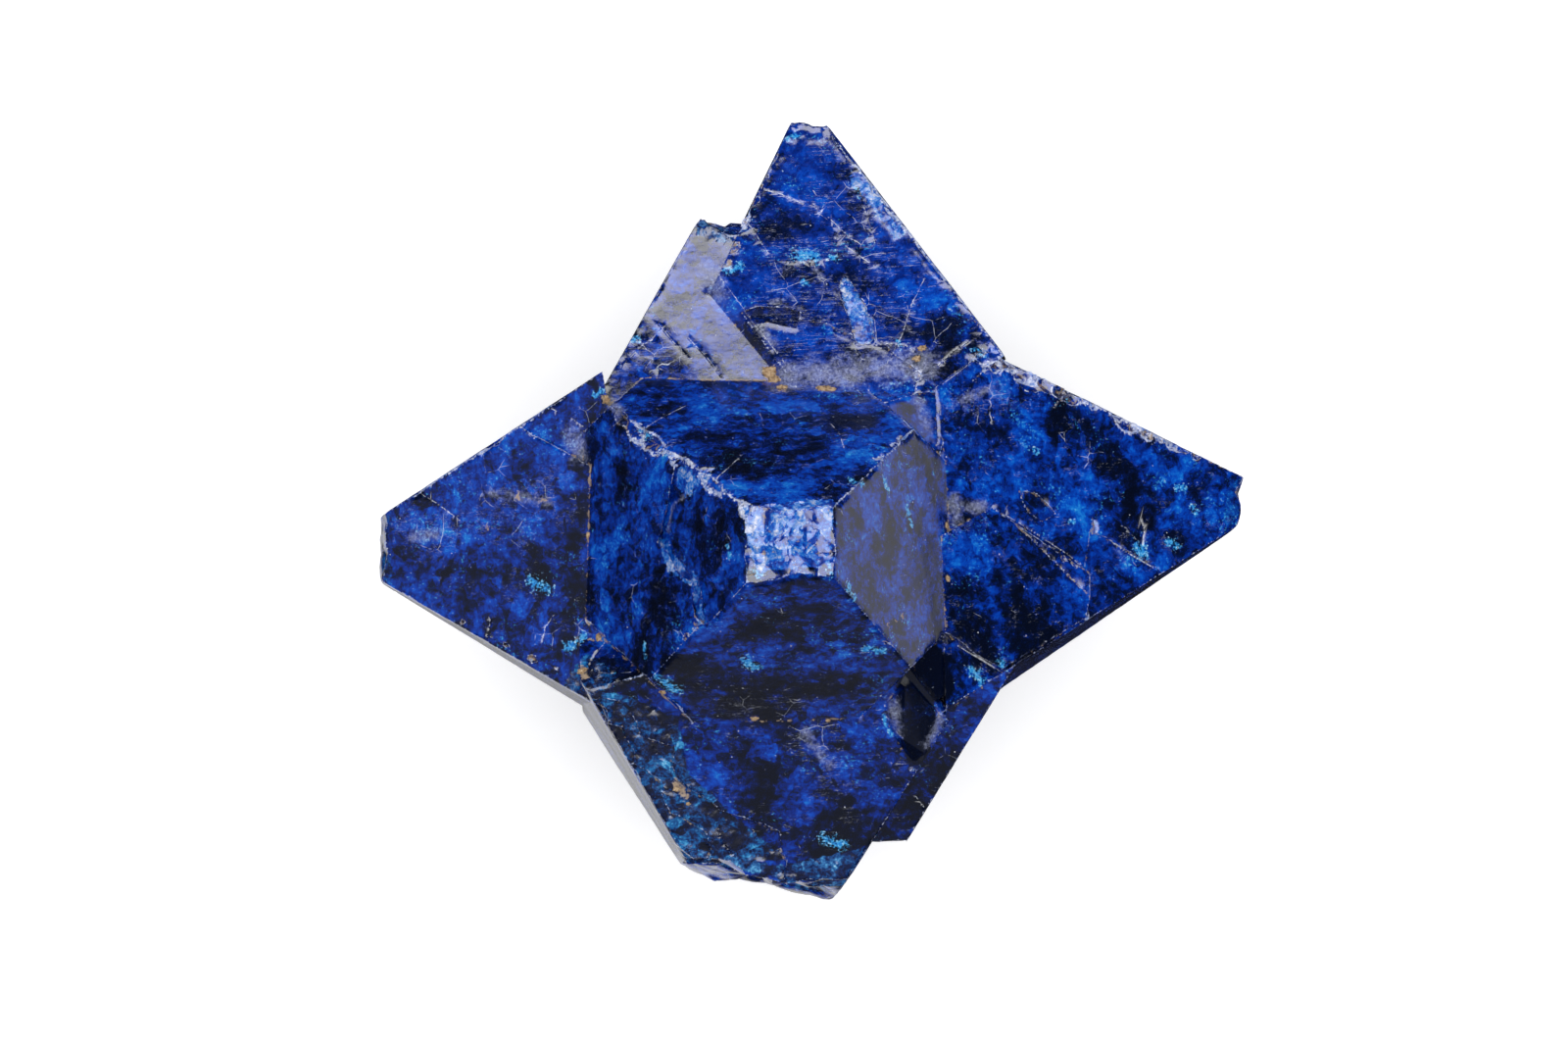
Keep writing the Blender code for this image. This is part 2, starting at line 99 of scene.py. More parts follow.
# How close together the points lie that stand for ridges, cracks, marks and breaks: in
# millimetres, and for the breaks in pixels
RIDGE_SPACING = 0.05
CRACK_SPACING = 0.02
MARK_SPACING = 0.1
BREAK_SPACING = 2.5
# A line in the photo is followed over the star in steps of this many pixels
TRACE_STEP = 6.0
# No break lies on a face that the camera sees at a slant flatter than this
FLATTEST_SLANT = 0.3


def solid_in_mm(node):
    """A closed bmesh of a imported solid, in millimetres, with the middle of the star at 0."""
    bm = bmesh.new()
    bm.from_mesh(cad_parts[node].data)
    bmesh.ops.translate(bm, verts=bm.verts, vec=-STAR_MIDDLE)
    bmesh.ops.scale(bm, verts=bm.verts, vec=(1 / MM, 1 / MM, 1 / MM))
    bmesh.ops.remove_doubles(bm, verts=bm.verts, dist=WELD_DISTANCE)
    bmesh.ops.dissolve_degenerate(bm, edges=bm.edges, dist=WELD_DISTANCE)
    bmesh.ops.triangulate(bm, faces=bm.faces)
    bm.normal_update()
    return bm


star_mesh = solid_in_mm("cumengeite_star")
star_tree = BVHTree.FromBMesh(star_mesh)
eye = (camera_place - STAR_MIDDLE) / MM


def seen(x, y):
    """The point of the star, and its face normal, that the camera sees at a pixel."""
    across = (x - PICTURE[0] / 2) * PIXEL / CAMERA_DISTANCE
    up = (PICTURE[1] / 2 - y) * PIXEL / CAMERA_DISTANCE
    place, normal, _, _ = star_tree.ray_cast(eye, camera_to_world @ Vector((across, up, -1)).normalized())
    return place, normal


def traced(pixels):
    """Points on the star under a line through these pixels."""
    points = []
    for start, end in zip(pixels, pixels[1:]):
        start, end = Vector(start), Vector(end)
        count = max(1, round((end - start).length / TRACE_STEP))
        for number in range(count + (end == Vector(pixels[-1]))):
            place, _ = seen(*(start + (end - start) * number / count))
            if place:
                points.append(place)
    return np.array(points).reshape(-1, 3)


# Pale hair cracks and growth lines, as pixels of the photo
CRACKS = (
    ((1066, 550), (1092, 567), (1113, 586), (1113, 609)),
    ((1117, 532), (1120, 545), (1141, 558), (1165, 572), (1181, 581)),
    ((1012, 517), (1040, 533), (1066, 550)),
    ((968, 647), (992, 666), (1021, 685)),
    ((536, 439), (565, 455), (597, 473)),
    ((424, 501), (445, 513), (469, 531)),
    ((563, 417), (580, 425), (596, 436)),
    ((500, 632), (498, 645), (494, 656)),
    ((565, 627), (556, 640), (553, 655)),
    ((736, 284), (750, 303), (764, 322), (787, 352), (810, 382)),
    ((862, 286), (872, 300), (884, 327), (889, 347)),
    ((856, 299), (866, 323), (874, 348)),
    ((763, 226), (772, 240), (784, 258)),
    ((775, 192), (798, 198), (820, 208)),
    ((801, 268), (830, 267), (846, 265)),
    ((881, 210), (888, 230), (893, 248)),
    ((830, 208), (846, 222), (865, 240)),
    ((850, 241), (875, 259), (893, 272)),
    ((943, 285), (930, 310), (921, 340), (904, 372)),
    ((892, 352), (905, 350), (924, 352), (938, 362)),
    ((651, 441), (672, 427), (700, 413)),
    ((731, 487), (746, 474), (757, 463)),
    ((848, 432), (857, 442), (861, 456)),
    ((605, 683), (622, 686), (644, 685)),
    ((596, 690), (606, 668), (617, 655)),
    ((733, 846), (738, 860), (746, 873)),
    ((975, 657), (991, 667), (1021, 685)),
    ((934, 812), (940, 820), (946, 828)),
    ((1086, 400), (1079, 410), (1075, 416)),
    ((1163, 527), (1168, 540), (1166, 556)),
    ((703, 345), (722, 365), (737, 385)),
    ((672, 330), (686, 347), (703, 366)),
    ((652, 346), (664, 362), (672, 378)),
    ((923, 700), (920, 726), (921, 754)),
    ((962, 392), (985, 375), (998, 360)),
    ((957, 372), (975, 356), (990, 347)),
    ((633, 375), (655, 352), (668, 345)),
    ((698, 582), (710, 592), (715, 604), (716, 632)),
)


def nearest(places, points):
    """The distance from each place to the nearest of some points, and which point it is."""
    tree = KDTree(len(points))
    for index, point in enumerate(points):
        tree.insert(point, index)
    tree.balance()
    found = [tree.find(place)[1:] for place in places]
    return np.array([away for _, away in found]), np.array([index for index, _ in found])


def distance_to(places, points):
    """The distance from each place to the nearest of some points."""
    return nearest(places, points)[0]


def spread(points, spacing):
    """More points along a traced line, so that none is further off than the spacing."""
    filled = [points[:1]]
    for start, end in zip(points, points[1:]):
        count = max(1, math.ceil(np.linalg.norm(end - start) / spacing))
        steps = np.linspace(0, 1, count + 1)[1:, None]
        filled.append(start + (end - start) * steps)
    return np.concatenate(filled)


crack_points = np.concatenate([spread(traced(crack), CRACK_SPACING) for crack in CRACKS])

# Broken places: how pale each is, and its outline in pixels of the photo
BREAKS = (
    (0.95, ((760, 518), (850, 508), (844, 575), (775, 581), (763, 550))),
    (0.30, ((597, 705), (640, 712), (690, 735), (700, 790), (760, 845), (800, 876), (692, 876),
            (660, 826), (625, 775))),
    (0.20, ((575, 702), (598, 668), (628, 690), (600, 716))),
    (0.0, ((798, 124), (850, 126), (856, 142), (794, 142))),
    (0.75, ((868, 178), (882, 174), (926, 232), (914, 240))),
    (0.40, ((714, 224), (748, 236), (744, 246), (712, 240))),
    (0.35, ((690, 866), (740, 872), (790, 886), (888, 866), (858, 910), (818, 908), (790, 892),
            (740, 884), (694, 878))),
    (0.8, ((690, 478), (728, 476), (718, 492), (698, 504), (692, 496))),
    (0.7, ((672, 552), (680, 552), (686, 568), (710, 588), (718, 634), (712, 636), (708, 598), (682, 580))),
    (0.9, ((858, 287), (864, 284), (875, 304), (888, 326), (890, 346), (876, 348), (871, 328), (864, 308))),
    (0.1, ((388, 540), (394, 528), (398, 526), (398, 594), (390, 596))),
    (0.1, ((1258, 486), (1267, 500), (1256, 537), (1250, 530))),
)

# Ridges that are chipped pale: how much, and their line in pixels of the photo
WORN_RIDGES = (
    (0.8, ((651, 441), (682, 464), (701, 476), (737, 503), (760, 519))),
    (0.35, ((856, 511), (890, 481), (937, 433))),
    (0.9, ((858, 152), (872, 175), (900, 210), (925, 244))),
    (0.45, ((925, 244), (954, 286), (976, 312))),
    (0.9, ((985, 362), (1034, 375), (1060, 385))),
    (0.4, ((1060, 385), (1087, 396), (1130, 420))),
    (0.9, ((1135, 428), (1165, 444), (1197, 463))),
    (0.5, ((776, 184), (759, 225), (747, 249))),
    (0.4, ((603, 638), (640, 680), (702, 731))),
    (0.5, ((430, 502), (504, 458), (564, 421))),
    (0.6, ((935, 387), (989, 344), (998, 350))),
)

# Marks on the star, each a radius and a line, in pixels of the photo. Dark ones, partly darker stone and
# partly painted shade in recesses,
DARK_AND_PAINTED_SHADE_MARKS = (
    (34, (1048, 590), (1052, 635)),
    (15, (985, 600), (1000, 660)),
    (22, (1148, 505), (1160, 540)),
    (16, (1085, 430), (1095, 450)),
    (15, (1130, 460), (1140, 480)),
    (10, (1220, 492), (1222, 512)),
    (10, (785, 235), (830, 228)),
    (11, (798, 277), (822, 275)),
    (10, (770, 324), (810, 322)),
    (11, (878, 285), (898, 300)),
    (12, (915, 328), (970, 335)),
    (10, (762, 330), (774, 352)),
    (10, (629, 428), (632, 440)),
    (10, (630, 480), (633, 500)),
    (16, (676, 600), (680, 625)),
    (12, (655, 650), (657, 676)),
    (10, (734, 525), (736, 550)),
    (10, (672, 416), (690, 418)),
    (10, (710, 445), (730, 445)),
    (14, (752, 465), (758, 485)),
    (14, (800, 452), (832, 452)),
    (10, (850, 430), (890, 430)),
    (26, (700, 690), (770, 715)),
    (20, (780, 640), (835, 632)),
    (20, (800, 700), (870, 700)),
    (18, (612, 690), (640, 705)),
    (26, (960, 790), (925, 845)),
    (20, (770, 790), (790, 830)),
    (16, (500, 560), (550, 585)),
    (14, (590, 520), (592, 600)),
    (14, (945, 372), (985, 352)),
    (24, (870, 830), (850, 870)),
)
# the crystal that is almost black,
BLACK_MARKS = (
    (20, (936, 700), (936, 745)),
    (14, (934, 758), (937, 770)),
    (16, (950, 676), (957, 700)),
)
# brighter ones, partly paler stone and partly painted inner reflections,
BRIGHT_AND_PAINTED_LIGHT_MARKS = (
    (30, (1050, 450), (1110, 500)),
    (20, (985, 560), (1040, 570)),
    (24, (655, 450), (662, 500)),
    (20, (905, 450), (885, 470)),
    (30, (812, 150), (830, 160)),
    (36, (850, 220), (890, 250)),
    (40, (850, 320), (920, 300)),
    (30, (760, 260), (770, 300)),
    (20, (1180, 480), (1240, 510)),
    (22, (560, 440), (575, 425)),
    (26, (620, 470), (615, 620)),
    (24, (700, 420), (800, 400)),
    (24, (800, 396), (890, 396)),
    (20, (760, 490), (800, 500)),
    (30, (450, 530), (540, 545)),
)
# places where the blue is more even,
EVEN_MARKS = (
    (60, (812, 160), (812, 330)),
    (50, (850, 240), (900, 330)),
    (40, (780, 240), (770, 330)),
)
# cyan specks,
CYAN_MARKS = (
    (6, (652, 437), (662, 445)),
    (5, (674, 458), (682, 464)),
    (4, (742, 557), (745, 567)),
    (4, (902, 488), (907, 502)),
    (5, (926, 518), (930, 535)),
    (8, (760, 673), (770, 680)),
    (6, (866, 600), (872, 610)),
    (8, (884, 662), (900, 664)),
    (4, (846, 578), (849, 588)),
    (5, (766, 584), (774, 585)),
    (4, (657, 656), (658, 670)),
    (8, (672, 692), (690, 704)),
    (6, (868, 490), (880, 493)),
    (8, (813, 259), (832, 262)),
    (5, (848, 263), (854, 264)),
    (11, (878, 186), (892, 198)),
    (8, (905, 214), (917, 236)),
    (4, (820, 287), (823, 290)),
    (6, (743, 276), (755, 272)),
    (5, (794, 141), (814, 139)),
    (4, (916, 349), (919, 353)),
    (5, (646, 344), (651, 346)),
    (6, (716, 234), (726, 238)),
    (8, (1162, 560), (1165, 564)),
    (4, (1091, 531), (1094, 533)),
    (4, (1054, 457), (1058, 461)),
    (5, (1218, 519), (1221, 523)),
    (5, (1203, 497), (1208, 498)),
    (6, (1194, 553), (1199, 556)),
    (6, (1018, 675), (1024, 680)),
    (6, (994, 357), (1001, 360)),
    (6, (992, 684), (1002, 694)),
    (3, (901, 731), (909, 748)),
    (9, (545, 592), (558, 602)),
    (7, (580, 660), (596, 650)),
    (9, (640, 718), (652, 730)),
    (10, (670, 735), (682, 750)),
    (6, (634, 747), (648, 752)),
    (12, (655, 775), (690, 800)),
    (9, (700, 830), (720, 850)),
    (7, (840, 855), (860, 862)),
    (5, (606, 405), (612, 400)),
)
# tan clay along inner corners, and in lumps,
CLAY_LINES = (
    (8, (602, 455), (602, 530)),
    (6, (602, 545), (602, 600), (603, 636)),
    (6, (966, 520), (967, 560), (966, 640)),
    (10, (603, 640), (622, 662), (640, 680)),
    (8, (660, 692), (690, 722)),
    (8, (640, 388), (780, 388)),
    (8, (930, 372), (945, 352)),
    (8, (716, 605), (716, 632)),
    (8, (752, 250), (742, 262)),
)
CLAY_LUMPS = (
    (6, (785, 378), (790, 388)),
    (5, (795, 396), (803, 397)),
    (6, (839, 396), (846, 397)),
    (4, (615, 406), (623, 411)),
    (4, (592, 680), (596, 690)),
    (3, (520, 500), (535, 508)),
    (3, (548, 510), (562, 508)),
    (2, (490, 533), (498, 539)),
    (2, (907, 638), (923, 628)),
    (5, (690, 800), (700, 812)),
)
# and grey dust or chips that hide the blue.
DUST_MARKS = (
    (20, (800, 386), (870, 380), (940, 372)),
    (4, (788, 308), (812, 303)),
    (5, (772, 332), (790, 350)),
    (4, (832, 272), (842, 292)),
    (3, (700, 503), (686, 518), (682, 542)),
    (12, (582, 440), (592, 465)),
    (7, (822, 748), (846, 780)),
    (5, (976, 412), (992, 402), (1010, 398)),
    (8, (622, 408), (630, 418)),
    (6, (500, 502), (560, 512)),
    (6, (420, 548), (448, 545)),
    (9, (911, 716), (915, 744)),
    (7, (958, 730), (948, 760)),
    (12, (974, 512), (976, 528)),
    (8, (990, 517), (1002, 517)),
    (12, (735, 300), (720, 270)),
    (8, (938, 410), (947, 434)),
)
# Where the faces are scratched most
SCRATCHED = (
    (60, (830, 260), (800, 340), (900, 330)),
    (40, (860, 190), (900, 250)),
    (26, (560, 510), (430, 540)),
    (24, (985, 410), (1010, 400)),
    (26, (650, 350), (690, 370)),
    (20, (800, 715), (740, 720)),
    (26, (835, 760), (845, 790)),
)
# A mark fades out at this many times its radius
MARK_SPREAD = 1.7


def mark_strength(marks):
    """How much each vertex lies in some marks: 1 in their middle, 0 well past their radius."""
    lines = [spread(traced(line), MARK_SPACING) for _, *line in marks]
    reaches = [MARK_SPREAD * radius * PIXEL / MM for radius, *_ in marks]
    reach = np.concatenate([np.full(len(line), reach) for line, reach in zip(lines, reaches)])
    away, index = nearest(places, np.concatenate(lines))
    return np.clip(1 - away / reach[index], 0, 1)


def inside(outline, x, y):
    """Whether pixels lie inside an outline."""
    result = np.zeros(len(x), bool)
    for (x1, y1), (x2, y2) in zip(outline, outline[1:] + outline[:1]):
        crosses = (y1 > y) != (y2 > y)
        slant = (x2 - x1) * (y - y1) / ((y2 - y1) or 1e-9) + x1
        result ^= crosses & (x < slant)
    return result


def filled_points(outline):
    """Points on the star inside an outline in pixels."""
    xs, ys = [p[0] for p in outline], [p[1] for p in outline]
    grid = np.mgrid[min(xs):max(xs):BREAK_SPACING, min(ys):max(ys):BREAK_SPACING].reshape(2, -1)
    grid = grid[:, inside(outline, *grid)]
    found = [seen(x, y) for x, y in grid.T]
    to_camera = eye.normalized()
    return np.array([place for place, normal in found if place and normal.dot(to_camera) > FLATTEST_SLANT])


break_patches = [filled_points(outline) for _, outline in BREAKS]
break_points = np.concatenate(break_patches)
paleness = np.concatenate([np.full(len(patch), pale) for (pale, _), patch in zip(BREAKS, break_patches)])
speck_points = np.concatenate([spread(traced(line), MARK_SPACING) for _, *line in CYAN_MARKS])
wear_lines = [spread(traced(line), RIDGE_SPACING) for _, line in WORN_RIDGES]
wear_points = np.concatenate(wear_lines)
wear_levels = np.concatenate([np.full(len(line), level) for (level, _), line in zip(WORN_RIDGES, wear_lines)])


def sharp_edges(bm, hollow):
    """The ends of the mesh's ridges, or with hollow those of its inner corners."""
    ends = []
    for edge in bm.edges:
        angle = edge.calc_face_angle_signed(0.0)
        if (-angle if hollow else angle) > RIDGE_ANGLE:
            ends.append([edge.verts[0].co.copy(), edge.verts[1].co.copy()])
    return ends


def points_along(ends):
    """Points along some straight edges."""
    return np.concatenate([spread(np.array(pair), RIDGE_SPACING) for pair in ends])


ridge_points = points_along(sharp_edges(star_mesh, hollow=False))
corner_points = points_along(sharp_edges(star_mesh, hollow=True))


def too_long(middles, lengths):
    """Which edges of the fine star mesh are longer than their place allows."""
    split = lengths > np.where(middles[:, 2] > HIDDEN_BELOW, FACE_EDGE, HIDDEN_EDGE)
    for points, reach, edge in (
        (ridge_points[ridge_points[:, 2] > HIDDEN_BELOW], RIDGE_REACH, RIDGE_EDGE),
        (break_points, BREAK_REACH, BREAK_EDGE),
        (crack_points, CRACK_REACH, CRACK_EDGE),
        (speck_points, SPECK_REACH, SPECK_EDGE),
    ):
        unsure = ~split & (lengths > edge)
        split[unsure] = distance_to(middles[unsure], points) < reach
    return split


def even_out(bm):
    """Turns edges within flat faces until their triangles are well shaped."""
    flat = [edge for edge in bm.edges if edge.calc_face_angle(0.0) < FLAT_ANGLE]
    bmesh.ops.beautify_fill(bm, faces=bm.faces, edges=flat, use_restrict_tag=False, method="ANGLE")


def split_triangles(points, triangles, chosen_edges):
    """Splits the edges that chosen_edges(middles, lengths) picks, and the triangles on them to suit."""
    sides = np.sort(triangles[:, [[0, 1], [1, 2], [2, 0]]], axis=2).reshape(-1, 2)
    edges, edge_of_side = np.unique(sides, axis=0, return_inverse=True)
    edge_of_side = edge_of_side.reshape(-1, 3)
    middles = points[edges].mean(1)
    lengths = np.linalg.norm(points[edges[:, 0]] - points[edges[:, 1]], axis=1)
    split = chosen_edges(middles, lengths)
    new_point = np.full(len(edges), -1)
    new_point[split] = len(points) + np.arange(split.sum())
    points = np.concatenate([points, middles[split]])
    middle = new_point[edge_of_side]
    count = (middle >= 0).sum(1)
    made = [triangles[count == 0]]
    for number in (1, 2, 3):
        chosen = count == number
        corner, centre = triangles[chosen], middle[chosen]
        # Each triangle is turned so that its whole side is the last one
        start = np.argmax(centre >= 0, axis=1) if number == 1 else (np.argmin(centre, axis=1) + 1) % 3
        order = (start[:, None] + np.arange(3)) % 3
        a, b, c = np.take_along_axis(corner, order, 1).T
        ab, bc, ca = np.take_along_axis(centre, order, 1).T
        if number == 1:
            made += [np.stack([a, ab, c], 1), np.stack([ab, b, c], 1)]
        if number == 2:
            one_way = np.linalg.norm(points[a] - points[bc], axis=1)
            other_way = np.linalg.norm(points[ab] - points[c], axis=1)
            short = one_way < other_way
            made += [np.stack([ab, b, bc], 1)]
            made += [np.stack([a, ab, bc], 1)[short], np.stack([a, bc, c], 1)[short]]
            made += [np.stack([a, ab, c], 1)[~short], np.stack([ab, bc, c], 1)[~short]]
        if number == 3:
            made += [np.stack([a, ab, ca], 1), np.stack([ab, b, bc], 1)]
            made += [np.stack([ca, bc, c], 1), np.stack([ab, bc, ca], 1)]
    return points, np.concatenate(made)


def as_arrays(bm):
    """The vertices and triangles of a bmesh as arrays."""
    bm.verts.index_update()
    points = np.array([vert.co for vert in bm.verts])
    return points, np.array([[vert.index for vert in face.verts] for face in bm.faces])


def from_arrays(points, triangles):
    """A bmesh made of arrays of vertices and triangles."""
    mesh = bpy.data.meshes.new("arrays")
    mesh.from_pydata(points.tolist(), [], triangles.tolist())
    bm = bmesh.new()
    bm.from_mesh(mesh)
    bpy.data.meshes.remove(mesh)
    return bm


def refine(bm):
    """Makes the triangles small: coarse first and evened out, then as fine as each place needs."""
    for size in COARSE_EDGES:
        points, triangles = split_triangles(*as_arrays(bm), lambda middles, lengths: lengths > size)
        bm = from_arrays(points, triangles)
        even_out(bm)
    points, triangles = as_arrays(bm)
    for _ in range(FINE_ROUNDS):
        points, triangles = split_triangles(points, triangles, too_long)
    return from_arrays(points, triangles)


star_mesh = refine(star_mesh)
star_mesh.normal_update()
places = np.array([vert.co for vert in star_mesh.verts])
outward = np.array([vert.normal for vert in star_mesh.verts])
ridge_away = distance_to(places, ridge_points)
corner_away = distance_to(places, corner_points)
break_away, break_nearest = nearest(places, break_points)
crack_away = distance_to(places, crack_points)
wear_away, wear_nearest = nearest(places, wear_points)


def smooth(values, start, end):
    """0 below start, 1 above end, and a smooth rise between."""
    rise = np.clip((values - start) / (end - start), 0, 1)
    return rise * rise * (3 - 2 * rise)


def lumps(scale, offset=0.0):
    """Noise at every vertex, from about -1 to 1, with that many lumps a millimetre."""
    shift = Vector((offset, 0, 0))
    return np.array([noise.fractal(Vector(place) * scale + shift, 1.0, 2.0, 3) for place in places])


def ledges(scale):
    """Flat little plates at every vertex, each with a height of its own from 0 to 1."""
    noise.seed_set(LEDGE_SEED)
    heights = []
    for place in places:
        place = Vector(place) + LEDGE_BEND * noise.turbulence_vector(Vector(place), 3, False)
        heights.append(noise.cell(place * scale))
    return np.array(heights)


# How deep the relief cuts into the star, in millimetres, and how far from a ridge or a crack
CHIP_DEPTH = 0.02
WORN_CHIP_DEPTH = 0.10
CHIP_REACH = 0.22
WEAR_REACH = 0.5
WEAR_FADE = 0.35
ROUNDED_DEPTH = 0.02
ROUNDED_REACH = 0.12
BREAK_DEPTH = 0.03
PALE_BREAK_DEPTH = 0.05
CRACK_DEPTH = 0.02
CRACK_HALF_WIDTH = 0.04
WAVE_DEPTH = 0.005
LEDGE_BEND = 0.35
# The noise that bends the ledges starts here, so that they are the same each time
LEDGE_SEED = 22
# The black crystal keeps this little of it
BLACK_RELIEF = 0.1

broken = smooth(BREAK_REACH - break_away, 0.0, BREAK_REACH)
worn = wear_levels[wear_nearest] * smooth(WEAR_REACH - wear_away, 0.0, WEAR_FADE)
chipped = smooth(lumps(1.6) + 0.25 * worn, -0.05, 0.35)
chip_depth = CHIP_DEPTH + WORN_CHIP_DEPTH * worn
break_depth = BREAK_DEPTH + PALE_BREAK_DEPTH * paleness[break_nearest]
rugged = np.abs(lumps(1.5, 7.0)) + 0.5 * np.abs(lumps(4.0, 2.0)) + 0.25 * ledges(2.6)
black = mark_strength(BLACK_MARKS)
relief = chip_depth * chipped * smooth(CHIP_REACH - ridge_away, 0.0, CHIP_REACH)
relief += ROUNDED_DEPTH * smooth(ROUNDED_REACH - ridge_away, 0.0, ROUNDED_REACH)
relief += broken * break_depth * rugged
relief += CRACK_DEPTH * smooth(CRACK_HALF_WIDTH - crack_away, 0.0, CRACK_HALF_WIDTH)
relief += WAVE_DEPTH * (lumps(0.8, 3.0) + 1)
relief *= 1 - (1 - BLACK_RELIEF) * np.minimum(1, 2.5 * black)
moved = places - outward * relief[:, None]

# Edges sharper than this stay sharp, and the rest are shaded smooth
SHARP_ANGLE = math.radians(22)
for vert, place in zip(star_mesh.verts, moved):
    vert.co = (Vector(place) * MM) + STAR_MIDDLE
star_mesh.normal_update()
for edge in star_mesh.edges:
    edge.smooth = edge.calc_face_angle(0.0) < SHARP_ANGLE
for face in star_mesh.faces:
    face.smooth = True
star_data = bpy.data.meshes.new("star")
star_mesh.to_mesh(star_data)
star_mesh.free()
star = bpy.data.objects.new("star", star_data)
bpy.context.scene.collection.objects.link(star)


def keep(name, values):
    """Keeps a number for every vertex, for the material to read."""
    star_data.attributes.new(name, "FLOAT", "POINT").data.foreach_set("value", values.astype(np.float32))


keep("ridge_away", ridge_away)
keep("corner_away", corner_away)
keep("crack_away", crack_away)
keep("broken", broken)
keep("paleness", paleness[break_nearest])
# Darker and brighter patches for the material: partly the stone's own mottling, partly painted shade in
# recesses and painted inner reflections
keep("tone_and_painted_light", 0.6 * np.sqrt(mark_strength(BRIGHT_AND_PAINTED_LIGHT_MARKS)) - np.sqrt(mark_strength(DARK_AND_PAINTED_SHADE_MARKS)))
keep("black", black)
keep("clay_line", mark_strength(CLAY_LINES))
keep("clay_lump", mark_strength(CLAY_LUMPS))
keep("scratched", mark_strength(SCRATCHED))
keep("cyan", mark_strength(CYAN_MARKS))
keep("even", np.sqrt(mark_strength(EVEN_MARKS)))
keep("dust", mark_strength(DUST_MARKS))
keep("worn", worn)


def add(tree, kind, settings=None, **inputs):
    """Adds a shader node, with its settings, and with values or sockets for its inputs."""
    node = tree.nodes.new(kind)
    for name, value in (settings or {}).items():
        setattr(node, name, value)
    for name, value in inputs.items():
        feed(tree, node.inputs[name.replace("_", " ")], value)
    return node


def feed(tree, socket, value):
    """Links a socket to another, or sets its value."""
    if isinstance(value, bpy.types.NodeSocket):
        tree.links.new(value, socket)
    else:
        socket.default_value = value


def calculate(tree, operation, *values):
    """The result of a sum on sockets and numbers."""
    node = add(tree, "ShaderNodeMath", {"operation": operation})
    for socket, value in zip(node.inputs, values):
        feed(tree, socket, value)
    return node.outputs[0]


def fade(tree, value, start, end, low=0.0, high=1.0):
    """A value mapped smoothly from start..end to low..high."""
    node = add(tree, "ShaderNodeMapRange", {"interpolation_type": "SMOOTHSTEP"}, Value=value)
    for name, number in (("From Min", start), ("From Max", end), ("To Min", low), ("To Max", high)):
        node.inputs[name].default_value = number
    return node.outputs[0]


def mix(tree, factor, under, over):
    """One colour over another."""
    node = add(tree, "ShaderNodeMix", {"data_type": "RGBA"})
    # The sockets for colours come after those for numbers and vectors
    feed(tree, node.inputs[0], factor)
    feed(tree, node.inputs[6], under)
    feed(tree, node.inputs[7], over)
    return node.outputs[2]


def ramp(tree, value, *stops):
    """A colour ramp through (position, colour) stops."""
    node = add(tree, "ShaderNodeValToRGB", Fac=value)
    elements = node.color_ramp.elements
    while len(elements) < len(stops):
        elements.new(0.5)
    for element, (position, colour) in zip(elements, stops):
        element.position = position
        element.color = (*colour, 1)
    return node.outputs[0]


def attribute(tree, name):
    """The number that the mesh keeps under a name."""
    return add(tree, "ShaderNodeAttribute", {"attribute_name": name}).outputs["Fac"]


def place_in_mm(tree):
    """The place on the object, in millimetres, so that the scales below are marks a millimetre."""
    place = add(tree, "ShaderNodeTexCoord").outputs["Object"]
    return add(tree, "ShaderNodeVectorMath", {"operation": "SCALE"}, Vector=place, Scale=1 / MM).outputs[0]


# The colours of the stone from its dark inside to its brightest specks, of its dirt, and of
# the two blues in between on its broken surfaces
BLACK_BLUE = (0.0005, 0.0025, 0.013)
NAVY = (0.0006, 0.006, 0.050)
ULTRAMARINE = (0.0008, 0.019, 0.22)
COBALT = (0.0010, 0.060, 0.48)
AZURE = (0.006, 0.17, 0.62)
CYAN = (0.055, 0.40, 0.72)
GRIME = (0.05, 0.055, 0.09)
LILAC = (0.36, 0.40, 0.60)
WHITE = (0.80, 0.84, 0.92)
CLAY_TAN = (0.40, 0.27, 0.15)
DARK_CLAY = (0.14, 0.10, 0.08)
DEEP_TEAL = (0.001, 0.045, 0.20)
TEAL = (0.003, 0.15, 0.43)
PERIWINKLE = (0.10, 0.25, 0.62)


def total(tree, *terms):
    """The sum of some (weight, socket) terms and plain numbers."""
    result = 0.0
    for term in terms:
        if isinstance(term, tuple):
            result = calculate(tree, "MULTIPLY_ADD", term[1], term[0], result)
        else:
            result = calculate(tree, "ADD", result, term)
    return result


def cloud(tree, place, scale, detail, rough, bend=0.0):
    """Noise with so many clouds a millimetre, around 0.5."""
    node = add(tree, "ShaderNodeTexNoise", Vector=place, Scale=scale, Detail=detail, Roughness=rough,
               Distortion=bend)
    return node.outputs["Fac"]


def shards(tree, place, scale, channel):
    """Shards with straight sides, so many a millimetre, each with a number of its own."""
    colour = add(tree, "ShaderNodeTexVoronoi", Vector=place, Scale=scale).outputs["Color"]
    return add(tree, "ShaderNodeSeparateColor", Color=colour).outputs[channel]


def bent(tree, place, scale, amount):
    """The place pushed about by noise, so that what is drawn there is less regular."""
    push = add(tree, "ShaderNodeTexNoise", Vector=place, Scale=scale, Detail=3.0).outputs["Color"]
    moved = add(tree, "ShaderNodeVectorMath", {"operation": "MULTIPLY_ADD"})
    feed(tree, moved.inputs[0], push)
    moved.inputs[1].default_value = (amount, amount, amount)
    feed(tree, moved.inputs[2], place)
    return moved.outputs[0]


